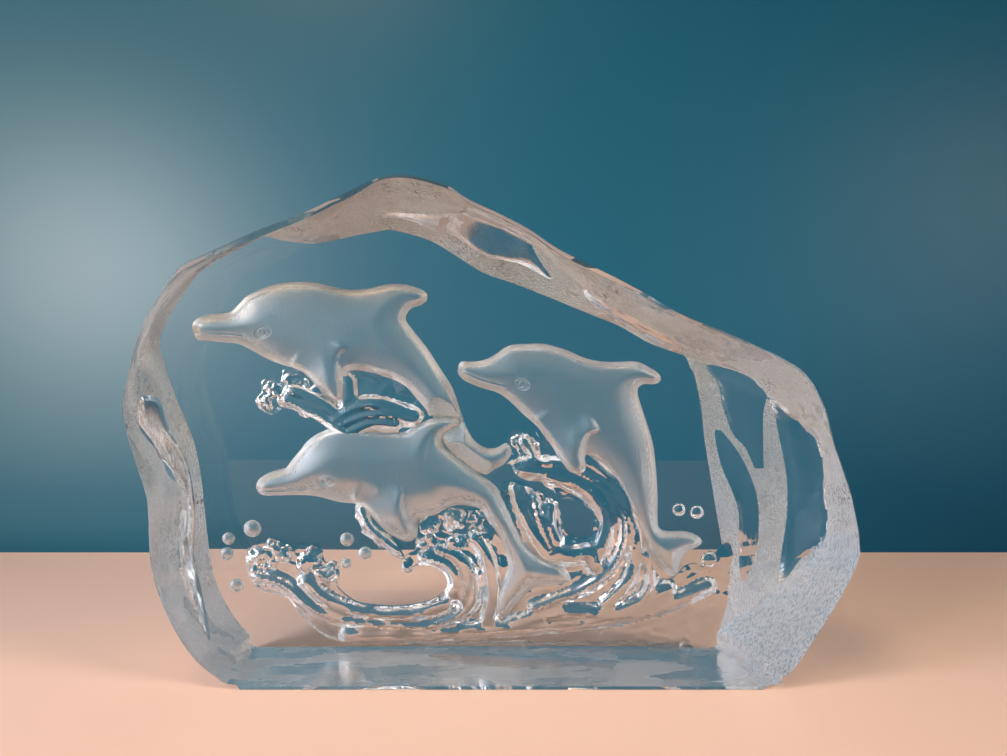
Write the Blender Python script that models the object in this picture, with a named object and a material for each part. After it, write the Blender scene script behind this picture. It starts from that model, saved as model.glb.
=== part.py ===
# Glass dolphin block: a thick cast block of clear crystal with a flat polished front. Three leaping
# dolphins, the waves under them and their spray are hollows pressed into the back.
# The block stands on its flat underside. Front is -Y, right is +X, up is +Z.
import bpy
import bmesh
from math import cos, pi, sin
from mathutils import Vector

MM = 0.001

# Block, in mm.
FRONT_DEPTH = 24.0          # from the middle of the base forward to the front face
BACK_DEPTH = 24.0           # from the middle of the base back to the back face
BACK_LEAN = 0.08            # how far the back face comes forward for each mm of height
HALF_HEIGHT = 60.0          # height of the point that the arris is drawn in towards
ARRIS_INSET = 1.6           # how far the edge of the front face lies inside the wall
ARRIS_DEPTH = 3.0           # how far behind the front face the wall reaches its full width
BEVEL_FALL = 1.5            # how much deeper the wall starts for each mm of extra bevel

# Relief, in mm or as shares.
BEHIND = 3.0                # how far a relief form stands out past the back face before the cut
BODY_DEPTH = 0.80           # depth of a dolphin's body as a share of its half width
FIN_DEPTH = 3.2             # depth of a fin at its middle
FIN_EDGE = 1.6              # depth of a fin at its outline
WAVE_DEPTH = 1.15           # depth of a wave as a share of its half width
FOAM_DEPTH = 1.1            # depth of a lump of foam as a share of its radius
BUBBLE_DEPTH = 0.9          # depth of a bubble as a share of its radius
END_REACH = 0.8             # how far a body or wave runs on past its last station, as a share of its half width
END_WIDTH = 0.45            # its half width there, as a share of the last station's
FIN_TOP = 0.72              # width of a fin's top as a share of its outline
BODY_SIDES = 8              # sides of the arch of a body
WAVE_SIDES = 5
FOAM_SIDES = 8
BUBBLE_SIDES = 10
DOME_ROWS = 3
SHELL_SIDES = 16
BODY_STEPS = 1              # points added between two stations of a body
WAVE_STEPS = 2

# Stations clockwise from the top, seen from the front: front face x, z, then the ridge of the wall
# with its depth behind the front face, then the back face x, z.
STATIONS = (
    (-19, 130, -21.5, 127, 22, -27.5, 120.5), (-9.5, 127.5, -11.5, 124.5, 24, -17.5, 118),
    (-4, 124, -5.5, 124, 26, -11.5, 115), (4.5, 120, 4, 120.5, 28, -1, 108.5),
    (12, 116, 12.5, 116.5, 28, 7.5, 105.5), (19.5, 111, 19.5, 110.5, 30, 16.5, 102),
    (33.5, 104, 32, 99.5, 32, 30, 96.5), (41, 100, 40, 94.5, 35, 38.5, 93),
    (50.5, 94.5, 49.5, 89.5, 37, 46.5, 88.5), (60.5, 90.5, 56.5, 86.5, 38, 53, 86),
    (68.5, 87, 64, 82.5, 37, 57, 84.5), (76, 83.5, 73, 79, 33, 58.5, 81.5),
    (82.5, 79, 80, 72, 29, 60, 78.5), (87, 71, 87.5, 65, 27, 62, 69),
    (89.5, 62, 91.5, 59.5, 26.5, 63, 60.5), (94, 48, 93, 45, 26.5, 66, 43),
    (96, 37, 93, 34.5, 26.5, 68.5, 28.5), (95.5, 31.5, 89, 27.5, 29, 68.5, 22),
    (91.5, 23, 81.5, 20.5, 32, 68.5, 16), (81, 6.5, 73, 10, 38, 67, 7), (76.5, 2, 69, 6, 42, 65.5, 4),
    (71.5, 0, 69, 0, 26, 63.5, 0), (28.5, 0, 30.5, 0, 26, 33, 0), (-7.5, 0, -10, 0, 26, -13.5, 0),
    (-35.5, 0, -39, 0, 26, -42.5, 0), (-62.5, 0, -64, 0, 26, -66, 0), (-69, 2.5, -69.5, 3.5, 24, -69, 4),
    (-75.5, 8.5, -76.5, 9, 26, -73.5, 9.5), (-81.5, 19, -83, 17.5, 28, -78, 18.5),
    (-85, 30, -87, 29, 30, -80, 28), (-86, 45.5, -85.5, 42.5, 33, -81.5, 43),
    (-87, 50.5, -85.5, 47, 35, -82, 49), (-90, 60, -90, 57.5, 30, -84, 60),
    (-92.5, 70.5, -93, 67.5, 20, -88.5, 72), (-91, 79, -93, 80, 20, -92, 83),
    (-89.5, 85.5, -92, 87, 20, -93, 88.5), (-86.5, 93.5, -89, 95, 20, -90.5, 95),
    (-81, 103.5, -83.5, 104, 20, -84, 105), (-77.5, 108, -79, 108, 20, -79.5, 109.5),
    (-66, 114, -68, 113.5, 20, -68, 116), (-59, 117, -61, 117.5, 20, -61.5, 118.5),
    (-47, 121, -49, 120.5, 22, -50, 116.5), (-34, 127, -36, 125, 22, -36.5, 119),
    (-26.5, 129.5, -28.5, 127, 22, -31.5, 120),
)
# Extra width of the front arris along the upper left, by station.
BEVELS = {37: 0.6, 38: 1.8, 39: 3.0, 40: 2.8, 41: 1.8, 42: 1.4}

# Shells split off the walls: place x, depth behind the front face, z, outward direction, reach along
# and across, depth.
SHELLS = (
    ((73, 35.8, 69), (0.52, 0.85, 0.06), (8, 15), 1.0),
    ((71.5, 40.5, 41.5), (0.52, 0.85, 0), (5, 20), 0.9),
    ((87.5, 29.8, 49), (0.52, 0.85, 0.04), (7.5, 21), 1.1),
    ((3, 32.5, 116), (0.33, 0.72, 0.62), (13, 6), 0.9),
    ((-32, 28, 122.5), (-0.2, 0.35, 0.92), (24, 11), 1.6),
    ((-84.5, 37, 38), (-0.93, 0.36, -0.05), (6, 20), 0.9),
)

# Dolphins: spine stations x, z and half width from beak to tail, then the outlines of their fins.
DOLPHINS = (
    dict(
        spine=((-82, 92.5, 1.5), (-78, 92.5, 3.5), (-73.5, 92.5, 4.5), (-68, 94, 7), (-61.5, 94, 10.5),
               (-55, 93.5, 12), (-47.5, 92.5, 12.5), (-39.5, 91.5, 12), (-31, 88.5, 10), (-25.5, 85.5, 8),
               (-21, 82, 6.5), (-16.5, 77, 5.5), (-13, 71.5, 4.5), (-9.5, 64.5, 3.5), (-5.5, 58.5, 3.5),
               (-0.5, 55, 3.5), (4, 56, 2.5)),
        fins=(
            ((-38, 100), (-36, 103.5), (-32, 104), (-28, 105), (-23.5, 105), (-19.5, 104), (-17, 102.5),
             (-17, 100.5), (-19, 99), (-22, 97.5), (-24, 93), (-31, 95)),
            ((-54.5, 83), (-52, 79.5), (-47, 74), (-44, 71.5), (-41.5, 71), (-40, 73), (-40.5, 79), (-41, 86),
             (-48, 88)),
        ),
    ),
    dict(
        spine=((-64.5, 47.5, 1.5), (-61, 48.5, 3.5), (-57, 49, 4.5), (-52.5, 51.5, 7.5), (-46.5, 53.5, 9.5),
               (-39.5, 53, 10.5), (-30.5, 51.5, 11.5), (-21.5, 51, 12), (-12.5, 48.5, 10), (-6.5, 46, 7),
               (0, 41.5, 5), (5, 36, 3.5), (8, 29.5, 3.5), (11, 25, 4)),
        fins=(
            ((-26, 62), (-21, 64.5), (-17, 66.5), (-12.5, 67), (-8.5, 66.5), (-8, 65), (-11, 63), (-12.5, 60),
             (-10, 55.5), (-20, 54)),
            ((-37.5, 43.5), (-33, 38), (-29, 34), (-25, 31.5), (-22, 31), (-20, 33), (-21, 38), (-23.5, 44),
             (-29, 48)),
            ((9, 28), (14, 28), (18, 25.5), (22, 24), (24.5, 21), (25, 19.5), (22, 18.5), (17, 17.5),
             (13.5, 17), (10, 14), (6.5, 10), (3.5, 9), (2.5, 12), (3, 16.5), (5.5, 22)),
        ),
    ),
    dict(
        spine=((-6, 80.5, 2), (-2.5, 79.5, 3.5), (1, 79, 5), (6, 79, 8), (11, 77.5, 10), (18, 75, 12),
               (25, 71.5, 12.5), (34, 66.5, 12), (38, 61, 10), (40.5, 56, 8), (43, 50, 6.5), (44.5, 44, 5),
               (45.5, 38.5, 4), (47, 34.5, 3), (50, 30, 2.5)),
        fins=(
            ((30, 82), (38, 83), (43, 83), (46.5, 81.5), (49.5, 79.5), (50, 77.5), (46, 76.5), (43.5, 74),
             (42, 70), (34, 71)),
            ((14.5, 66), (19.5, 57.5), (21.5, 53.5), (23.5, 51), (26.5, 50), (29, 52), (28, 57), (30, 62),
             (26, 67), (19, 69)),
            ((47, 33), (50, 35), (52.5, 34), (57, 34), (60.5, 33), (62.5, 31), (61, 29.5), (58, 28),
             (56.5, 25.5), (55.5, 22), (54, 21), (51.5, 22), (48.5, 25.5), (46, 29)),
        ),
    ),
)

# Waves: ribbons of water, each as stations x, z and half width.
WAVES = (
    ((-2, 5.4, 3.6), (-34.1, 5.9, 2.9), (-48.5, 10.5, 2.6), (-58.4, 18.1, 2.6), (-64.7, 23.7, 2.4)),
    ((-9, 12.7, 2.6), (-22, 10.9, 2.3), (-37, 13.4, 2.3), (-46.9, 19.6, 2.6), (-53.8, 25.1, 2.9)),
    ((-16.5, 6.3, 3.5), (-7, 9.9, 3.2), (-3, 16.4, 2.6), (-9, 27.7, 2), (-16.5, 29, 1.7), (-23.5, 27.8, 1.2)),
    ((-4.5, 5.8, 2.9), (1.5, 10.9, 2.6), (3, 19.4, 2.3), (-2.5, 31, 1.5)),
    ((-53.3, 72.1, 2), (-42.6, 64.1, 1.7), (-39.1, 61.6, 1.5)),
    ((-43.5, 66.1, 1.5), (-37.6, 69.7, 1.7), (-30.7, 70.3, 1.7), (-20.8, 67.3, 0.9)),
    ((8.5, 43.8, 1.7), (11.5, 38.5, 2.3), (13.5, 32.7, 2.6), (17, 27.7, 1.7)),
    ((15, 41.4, 2.3), (17, 37.1, 2.6), (19, 31.3, 2.6)),
    ((9, 50.8, 1.5), (25.9, 45.1, 1.7), (32.4, 40.6, 2), (35.4, 34.1, 2.6), (33, 27.8, 2.6), (22, 29.7, 1.5)),
    ((12.5, 50.5, 1.2), (29.9, 48.1, 1.7), (39.4, 35.6, 2.3), (34.5, 19.5, 3.2), (12.5, 9.5, 1.7)),
    ((29.9, 54.1, 1.2), (40.8, 44.4, 1.5), (44.4, 29.8, 1.7), (49, 16.6, 1.5)),
    ((-45, 3.3, 1.7), (-19, 3.6, 2.1), (10, 4.8, 3.2), (33, 6.9, 4.6), (50.5, 10.5, 5.2), (60, 13.5, 4.2)),
)

# Lumps of foam: x, z and radius.
FOAM = (
    (-66.1, 27.6, 2.9), (-61.7, 29.4, 2.9), (-57.3, 28.8, 2.9), (-52.8, 26.3, 3.5), (-47.7, 21.9, 3.8),
    (-57.7, 79.2, 2.6), (-53.3, 75.4, 2.9), (-59.8, 72.6, 2.3), (-63.1, 71.4, 2.6), (-61.5, 76, 2.6),
    (-49, 73.1, 2.6), (-35.9, 38.5, 2), (-33.7, 34.2, 2.3), (-29.9, 31.1, 2.2), (-26.3, 28.1, 1.7),
    (-19.2, 35.6, 2.9), (-15.7, 38.5, 2.9), (-11.4, 40, 2.9), (-7.7, 38.5, 2.9), (-16.4, 32.7, 3.2),
    (-10.6, 34.2, 3.2), (-5.3, 34.7, 2.9), (-13.5, 28.8, 2.9), (8, 46.5, 2.2), (12, 44.7, 2.2),
    (16.5, 42.6, 2.2), (20, 39.1, 2.2), (20.5, 34.1, 2.2), (8.6, 60.4, 2.9), (13.2, 61.1, 2.3),
    (9.8, 56, 2.9), (14.6, 57.4, 2.6),
)

# Bubbles: x, z and radius of the round dimples between the waves.
BUBBLES = (
    (-67.6, 34.8, 2.5), (-74.5, 31.9, 1.8), (-75, 27.5, 1.9), (-72.3, 18.2, 2), (-40.4, 31.5, 2),
    (-35.2, 27.5, 1.9), (-40.7, 24.5, 1.5), (-22.8, 23.4, 1.8), (55.8, 40.2, 1.9), (61, 39.5, 2),
    (64.8, 25.5, 2.2),
)


DRAWING_X = [station[k] for station in STATIONS for k in (0, 2, 5)]
DRAWING_MIDDLE = (min(DRAWING_X) + max(DRAWING_X)) / 2      # x of the block's middle in these outlines


def seat(x, z, depth):
    # A point of the relief, depth mm in front of the leaning back face, in metres.
    return Vector((x, BACK_DEPTH - BACK_LEAN * z - depth, z)) * MM


def smooth_path(stations, steps):
    # A curve through the stations with steps points added between each pair.
    path = []
    last = len(stations) - 1
    for i in range(last):
        a, b, c, d = (Vector(stations[min(max(i + k, 0), last)]) for k in (-1, 0, 1, 2))
        for k in range(steps + 1):
            t = k / (steps + 1)
            path.append(0.5 * (2 * b + (c - a) * t + (2 * a - 5 * b + 4 * c - d) * t * t
                               + (3 * b - a - 3 * c + d) * t ** 3))
    path.append(Vector(stations[last]))
    return path


def ring_mesh(name, rings):
    # A closed skin over rings of equal length, capped at both ends.
    bm = bmesh.new()
    middle = Vector((DRAWING_MIDDLE * MM, 0, 0))
    loops = [[bm.verts.new(point - middle) for point in ring] for ring in rings]
    count = len(loops[0])
    for near, far in zip(loops, loops[1:]):
        for k in range(count):
            bm.faces.new((near[k], near[(k + 1) % count], far[(k + 1) % count], far[k]))
    bm.faces.new(loops[0])
    bm.faces.new(loops[-1])
    bmesh.ops.recalc_face_normals(bm, faces=bm.faces)
    mesh = bpy.data.meshes.new(name)
    bm.to_mesh(mesh)
    bm.free()
    piece = bpy.data.objects.new(name, mesh)
    bpy.context.scene.collection.objects.link(piece)
    return piece


def bellied_form(name, stations, depth_share, sides, steps):
    # A body or a ribbon of water: rounded toward the front, run out past the back face.
    path = smooth_path(stations, steps)
    rings = []
    for i, (x, z, half) in enumerate(path):
        ahead = path[min(i + 1, len(path) - 1)] - path[max(i - 1, 0)]
        run = Vector((ahead.x, ahead.y, 0)).normalized()
        past = run * half * END_REACH
        if i == 0:
            rings.append(bellied_ring(x - past.x, z - past.y, run, half * END_WIDTH, depth_share, sides))
        rings.append(bellied_ring(x, z, run, half, depth_share, sides))
        if i == len(path) - 1:
            rings.append(bellied_ring(x + past.x, z + past.y, run, half * END_WIDTH, depth_share, sides))
    return ring_mesh(name, rings)


def bellied_ring(x, z, run, half, depth_share, sides):
    # One cross-section: an arch in front of the back face on straight sides that cross it.
    arch = [(cos(pi * (k + 0.5) / sides), sin(pi * (k + 0.5) / sides) * half * depth_share)
            for k in range(sides)]
    return [seat(x - run.y * side * half, z + run.x * side * half, depth)
            for side, depth in [(1, -BEHIND)] + arch + [(-1, -BEHIND)]]


def fin_form(name, outline):
    # A fin: its outline run out past the back face, with a rounded top.
    closed = smooth_path(outline + outline[:1], 1)[:-1]
    middle = sum(closed, Vector((0, 0))) / len(closed)
    rings = []
    for share, depth in ((1.0, -BEHIND), (1.0, FIN_EDGE), (FIN_TOP, FIN_DEPTH)):
        ring = [middle + (point - middle) * share for point in closed]
        rings.append([seat(point.x, point.y, depth) for point in ring])
    return ring_mesh(name, rings)


def round_form(name, x, z, radius, depth_share, sides):
    # A lump of foam or a bubble: a dome in front of the back face on a stem that crosses it.
    around = [(cos(2 * pi * k / sides), sin(2 * pi * k / sides)) for k in range(sides)]
    lifts = [0.5 * pi * (row + 0.5) / DOME_ROWS for row in range(DOME_ROWS)]
    levels = [(1, -BEHIND)] + [(cos(lift), radius * depth_share * sin(lift)) for lift in lifts]
    return ring_mesh(name, [[seat(x + radius * reach * c, z + radius * reach * s, depth) for c, s in around]
                            for reach, depth in levels])


def shell_form(name, place, out, reach, depth):
    # A shallow bowl that opens outwards, to split a shell off a wall.
    place = Vector((place[0], place[1] - FRONT_DEPTH, place[2]))
    out = Vector(out).normalized()
    along = out.cross(Vector((0, 0, 1)))
    if along.length < 0.3:
        along = Vector((1, 0, 0)) - out * out.x
    along.normalize()
    across = out.cross(along)
    rings = []
    for share in (0.25, 0.6, 0.95, 1.3, 1.7):
        lift = depth * (share * share - 1)
        rings.append([(place + out * lift + along * (share * reach[0] * cos(2 * pi * k / SHELL_SIDES))
                       + across * (share * reach[1] * sin(2 * pi * k / SHELL_SIDES))) * MM
                      for k in range(SHELL_SIDES)])
    return ring_mesh(name, rings)


def block_form(name):
    # The uncut block: front face, arris, wall, ridge of the wall and leaning back face.
    middle = Vector((0, HALF_HEIGHT))
    front, wall, ridge, back = [], [], [], []
    for i, (fx, fz, rx, rz, ridge_depth, bx, bz) in enumerate(STATIONS):
        bevel = BEVELS.get(i, 0)
        edge = Vector((fx, fz))
        edge += (middle - edge).normalized() * (ARRIS_INSET + bevel)
        if fz == 0:
            edge.y = 0
        front.append(Vector((edge.x, -FRONT_DEPTH, edge.y)) * MM)
        wall.append(Vector((fx, ARRIS_DEPTH + BEVEL_FALL * bevel - FRONT_DEPTH, fz)) * MM)
        ridge.append(Vector((rx, ridge_depth - FRONT_DEPTH, rz)) * MM)
        back.append(Vector((bx, BACK_DEPTH - BACK_LEAN * bz, bz)) * MM)
    return ring_mesh(name, (front, wall, ridge, back))


def cut(piece, name, forms):
    # One Boolean for a group of forms, which stay as hidden guides.
    group = bpy.data.collections.new(name)
    bpy.context.scene.collection.children.link(group)
    for form in forms:
        bpy.context.scene.collection.objects.unlink(form)
        group.objects.link(form)
        form.hide_render = True
        form.display_type = "WIRE"
    modifier = piece.modifiers.new(name, "BOOLEAN")
    modifier.operation = "DIFFERENCE"
    modifier.operand_type = "COLLECTION"
    modifier.collection = group
    modifier.solver = "MANIFOLD"


for old in list(bpy.data.objects):
    bpy.data.objects.remove(old, do_unlink=True)

crystal = bpy.data.materials.new("crystal")
crystal.use_nodes = True
shader = crystal.node_tree.nodes["Principled BSDF"]
shader.inputs["Base Color"].default_value = (0.90, 0.97, 0.98, 1)
shader.inputs["Roughness"].default_value = 0.03
shader.inputs["Metallic"].default_value = 0
shader.inputs["IOR"].default_value = 1.54
shader.inputs["Transmission Weight"].default_value = 1

block = block_form("crystal_block")
block.data.materials.append(crystal)

cut(block, "shells", [shell_form(f"shell_{i}", *shell) for i, shell in enumerate(SHELLS)])
for i, dolphin in enumerate(DOLPHINS):
    forms = [bellied_form(f"dolphin_{i}_body", dolphin["spine"], BODY_DEPTH, BODY_SIDES, BODY_STEPS)]
    forms += [fin_form(f"dolphin_{i}_fin_{k}", fin) for k, fin in enumerate(dolphin["fins"])]
    cut(block, f"dolphin_{i}", forms)
cut(block, "waves", [bellied_form(f"wave_{i}", wave, WAVE_DEPTH, WAVE_SIDES, WAVE_STEPS)
                     for i, wave in enumerate(WAVES)])
cut(block, "foam", [round_form(f"foam_{i}", *lump, FOAM_DEPTH, FOAM_SIDES) for i, lump in enumerate(FOAM)])
cut(block, "bubbles", [round_form(f"bubble_{i}", *bubble, BUBBLE_DEPTH, BUBBLE_SIDES)
                       for i, bubble in enumerate(BUBBLES)])
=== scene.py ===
import bpy
import bmesh
import numpy as np
from math import cos, pi, radians, sin
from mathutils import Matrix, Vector, noise


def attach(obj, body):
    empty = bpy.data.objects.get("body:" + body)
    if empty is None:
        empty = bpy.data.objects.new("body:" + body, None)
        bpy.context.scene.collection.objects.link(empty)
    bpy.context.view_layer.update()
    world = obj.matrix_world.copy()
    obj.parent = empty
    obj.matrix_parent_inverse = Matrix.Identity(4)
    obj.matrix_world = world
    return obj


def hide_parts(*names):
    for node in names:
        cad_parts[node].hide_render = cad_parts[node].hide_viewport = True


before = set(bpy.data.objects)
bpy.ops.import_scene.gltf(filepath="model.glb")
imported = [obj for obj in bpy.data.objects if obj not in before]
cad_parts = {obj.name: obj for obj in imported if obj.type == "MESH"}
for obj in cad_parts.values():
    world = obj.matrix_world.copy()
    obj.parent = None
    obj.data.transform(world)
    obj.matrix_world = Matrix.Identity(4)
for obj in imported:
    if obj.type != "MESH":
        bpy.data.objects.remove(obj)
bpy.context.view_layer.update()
scene = bpy.context.scene
for chosen in list(bpy.context.selected_objects):
    chosen.select_set(False)
print("frame loaded", flush=True)

mm = 0.001
axis = (5.0, 78.3)      # the drawing's place straight before the camera
shrinkPerMm = 0.0034    # how much smaller a thing shows for each mm that it lies behind the front

finishNames = ("polished", "satin", "water", "hewn", "brushed", "window", "ground")
slotOf = {item: i for i, item in enumerate(finishNames)}
finishes = [bpy.data.materials.new(item + "Crystal") for item in finishNames]

# The block, in mm. The steps of its wall are counted by along, frontRows and backRows, and its
# lumps are pairs of rise and size.
block = dict(
    frontDepth=24.0, backDepth=24.0, backLean=0.08, behind=3.0,
    arrisInset=1.6, arrisDepth=3.0, bevelSlope=1.5, heart=60,
    along=17, frontRows=25, backRows=21, rounding=2,
    groundReach=0.4, groundTouch=0.01, lumps=((0.30, 9.0), (0.10, 2.6), (0.05, 1.1)),
    windowCalm=0.85, windowReach=2.5, fall=1.4,
)

# Stations clockwise from the top, seen from the front: front x, z, then the ridge of the wall
# with its depth behind the front, then the back x, z.
stations = (
    (-19, 130, -21.5, 127, 22, -27.5, 120.5), (-9.5, 127.5, -11.5, 124.5, 24, -17.5, 118),
    (-4, 124, -5.5, 124, 26, -11.5, 115), (4.5, 120, 4, 120.5, 28, -1, 108.5),
    (12, 116, 12.5, 116.5, 28, 7.5, 105.5), (19.5, 111, 19.5, 110.5, 30, 16.5, 102),
    (33.5, 104, 32, 99.5, 32, 30, 96.5), (41, 100, 40, 94.5, 35, 38.5, 93),
    (50.5, 94.5, 49.5, 89.5, 37, 46.5, 88.5), (60.5, 90.5, 56.5, 86.5, 38, 53, 86),
    (68.5, 87, 64, 82.5, 37, 57, 84.5), (76, 83.5, 73, 79, 33, 58.5, 81.5),
    (82.5, 79, 80, 72, 29, 60, 78.5), (87, 71, 87.5, 65, 27, 62, 69),
    (89.5, 62, 91.5, 59.5, 26.5, 63, 60.5), (94, 48, 93, 45, 26.5, 66, 43),
    (96, 37, 93, 34.5, 26.5, 68.5, 28.5), (95.5, 31.5, 89, 27.5, 29, 68.5, 22),
    (91.5, 23, 81.5, 20.5, 32, 68.5, 16), (81, 6.5, 73, 10, 38, 67, 7), (76.5, 2, 69, 6, 42, 65.5, 4),
    (71.5, 0, 69, 0, 26, 63.5, 0), (28.5, 0, 30.5, 0, 26, 33, 0), (-7.5, 0, -10, 0, 26, -13.5, 0),
    (-35.5, 0, -39, 0, 26, -42.5, 0), (-62.5, 0, -64, 0, 26, -66, 0), (-69, 2.5, -69.5, 3.5, 24, -69, 4),
    (-75.5, 8.5, -76.5, 9, 26, -73.5, 9.5), (-81.5, 19, -83, 17.5, 28, -78, 18.5),
    (-85, 30, -87, 29, 30, -80, 28), (-86, 45.5, -85.5, 42.5, 33, -81.5, 43),
    (-87, 50.5, -85.5, 47, 35, -82, 49), (-90, 60, -90, 57.5, 30, -84, 60),
    (-92.5, 70.5, -93, 67.5, 20, -88.5, 72), (-91, 79, -93, 80, 20, -92, 83),
    (-89.5, 85.5, -92, 87, 20, -93, 88.5), (-86.5, 93.5, -89, 95, 20, -90.5, 95),
    (-81, 103.5, -83.5, 104, 20, -84, 105), (-77.5, 108, -79, 108, 20, -79.5, 109.5),
    (-66, 114, -68, 113.5, 20, -68, 116), (-59, 117, -61, 117.5, 20, -61.5, 118.5),
    (-47, 121, -49, 120.5, 22, -50, 116.5), (-34, 127, -36, 125, 22, -36.5, 119),
    (-26.5, 129.5, -28.5, 127, 22, -31.5, 120),
)
sides = [x for station in stations for x in (station[0], station[2], station[5])]
drawingMiddle = (min(sides) + max(sides)) / 2
drawingShift = Vector((drawingMiddle * mm, 0, 0))

# Extra width of the front bevel, by station.
bevels = {37: 0.6, 38: 1.8, 39: 3.0, 40: 2.8, 41: 1.8, 42: 1.4}

# Hewn patches of the wall, as they show through the front: outline, how far they are
# sunk, over which fall, and their finish.
hewn = (
    dict(name="upperWindow", sink=0.35, finish="window",
         line=((56, 81.5), (61, 81), (66, 79), (71, 74.5), (70.2, 69), (70, 52.5), (66, 60.5),
               (62.5, 64.5), (60, 71.5), (59, 76.5))),
    dict(name="innerWindow", sink=0.35, finish="window",
         line=((58, 66), (61.5, 63), (65, 58), (68, 51), (69, 44.5), (68.5, 35.5), (65, 27), (64, 35),
               (64, 44.5), (62, 51), (59.5, 57))),
    dict(name="outerWindow", sink=0.4, finish="window",
         line=((71.5, 73.5), (76, 71), (80, 66), (84.5, 61.5), (85, 56), (86, 48), (86, 39.5),
               (83.5, 35.5), (79.5, 33), (74, 27), (76, 43.5), (76, 53.5), (74, 64.5), (73, 69.5))),
    dict(name="topWindow", sink=0.3, finish="window",
         line=((-26.5, 119.9), (-16, 119.7), (-5.2, 119.8), (-2.9, 121.3), (4.9, 117.3), (11.2, 114.2),
               (12.4, 111), (14.9, 106.7), (17.2, 102.9), (9.9, 106.7), (4.9, 108), (-0.2, 109.2),
               (-6.7, 113.7), (-13.5, 116), (-19.3, 118), (-25.3, 118.8))),
    dict(name="topStrip", sink=0.3, finish="window",
         line=((25.5, 100.5), (32, 96.5), (39.5, 92.5), (46.5, 88.5), (50.5, 85.5), (47.5, 85),
               (39.5, 89.5), (32, 94), (26.5, 97.5))),
    dict(name="leftStrip", sink=0.5, finish="window",
         line=((-86, 65.5), (-81.5, 59.5), (-79, 54), (-76, 50.5), (-76, 42.5), (-77, 34.5),
               (-74.5, 25), (-68.5, 12.5), (-70, 22.5), (-72.5, 34.5), (-72.5, 47.5), (-74.5, 57.5),
               (-78.5, 65), (-81.5, 73), (-86.5, 73))),
    dict(name="topShell", sink=1.3, fall=3.5, finish="hewn",
         line=((-54, 114.5), (-51.5, 113), (-42, 112), (-36.5, 113), (-31, 114.5), (-23, 115.5),
               (-26, 118.5), (-26, 120.5), (-21, 121), (-14, 120.5), (-7.5, 120), (-4.5, 121),
               (-4, 122.5), (-9, 125.5), (-18.5, 127.5), (-26, 127), (-36, 123), (-46, 119))),
    dict(name="iceFacet", sink=0.5, fall=2.5, finish="brushed",
         line=((58.7, 14.7), (68, 20.7), (74.2, 26), (79.4, 30.5), (86.2, 38.8), (94.5, 37.5), (90, 24),
               (79.7, 7.2), (70.2, 0.2), (64.4, 10))),
)

# Dirt in the rough walls, as it shows through the front: x, z and reach.
dirt = (
    (-32, 125.5, 3.5), (-24, 125.6, 3), (-17, 126, 3.5), (-11.5, 125.5, 3), (-46, 116.5, 4),
    (-49, 118, 3), (-4, 111, 4.5), (-1, 113, 4), (4.5, 107, 3), (29.5, 98.5, 3.5), (32, 101, 3),
    (54.5, 85, 3), (71, 76.5, 2.5), (90, 49, 5), (89, 43, 4), (-86.5, 68, 4), (-79.5, 40, 4),
    (-78.5, 34, 3.5), (-71, 47, 2.5),
)


def seat(x, z, depth):
    # A place on the back of the block, sunk in by depth, from mm.
    return Vector((x, block["backDepth"] - block["backLean"] * z - depth, z)) * mm


def smoothPath(places, steps):
    # A smooth curve through places, with steps points between each two.
    path = []
    last = len(places) - 1
    for i in range(last):
        a, b, c, d = (Vector(places[min(max(i + k, 0), last)]) for k in (-1, 0, 1, 2))
        for k in range(steps + 1):
            t = k / (steps + 1)
            path.append(0.5 * (2 * b + (c - a) * t + (2 * a - 5 * b + 4 * c - d) * t * t
                               + (3 * b - a - 3 * c + d) * t ** 3))
    path.append(Vector(places[last]))
    return path


def closedPath(line, steps):
    ends = steps + 1
    return smoothPath(line[-1:] + line + line[:2], steps)[ends:-ends][:-1]


def roundLine(line):
    # A closed outline with its corners rounded.
    return [(p.x, p.y) for p in closedPath(line, 3)]


def distanceTo(line, closed, xs, zs):
    # Distance in mm from each grid point to a line of points.
    near = np.full(xs.shape, 1e9)
    ends = list(zip(line, line[1:] + line[:1] if closed else line[1:]))
    for (ax, az), (bx, bz) in ends:
        dx, dz = bx - ax, bz - az
        t = np.clip(((xs - ax) * dx + (zs - az) * dz) / max(dx * dx + dz * dz, 1e-9), 0, 1)
        near = np.minimum(near, np.hypot(xs - ax - t * dx, zs - az - t * dz))
    return near


def insideOf(line, xs, zs):
    inside = np.zeros(xs.shape, bool)
    for (ax, az), (bx, bz) in zip(line, line[1:] + line[:1]):
        across = (az > zs) != (bz > zs)
        reach = (bx - ax) * (zs - az) / (bz - az if bz != az else 1e-9) + ax
        inside ^= across & (xs < reach)
    return inside


def ripples(xs, zs, scale, seed):
    # Smooth noise over a grid of places.
    spots = zip(xs.ravel(), zs.ravel())
    flat = np.array([noise.noise(Vector((x * scale, z * scale, seed))) for x, z in spots])
    return flat.reshape(xs.shape)


def softened(field, passes):
    # A height field with its creases rounded.
    for _ in range(passes):
        for turn in (0, 1):
            field = np.swapaxes(field, 0, 1)
            middle = 0.25 * field[:-2] + 0.5 * field[1:-1] + 0.25 * field[2:]
            field = np.concatenate((field[:1], middle, field[-1:]))
    return field


def easeIn(t):
    t = np.clip(t, 0, 1)
    return t * t * (3 - 2 * t)


def madeObject(name, bm, finish=None):
    # A built form as an object that has every finish; its faces take one of them if it is given.
    bmesh.ops.recalc_face_normals(bm, faces=bm.faces)
    if finish is not None:
        for face in bm.faces:
            face.material_index = finish
    mesh = bpy.data.meshes.new(name)
    bm.to_mesh(mesh)
    bm.free()
    for item in finishes:
        mesh.materials.append(item)
    piece = bpy.data.objects.new(name, mesh)
    scene.collection.objects.link(piece)
    return piece


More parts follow.
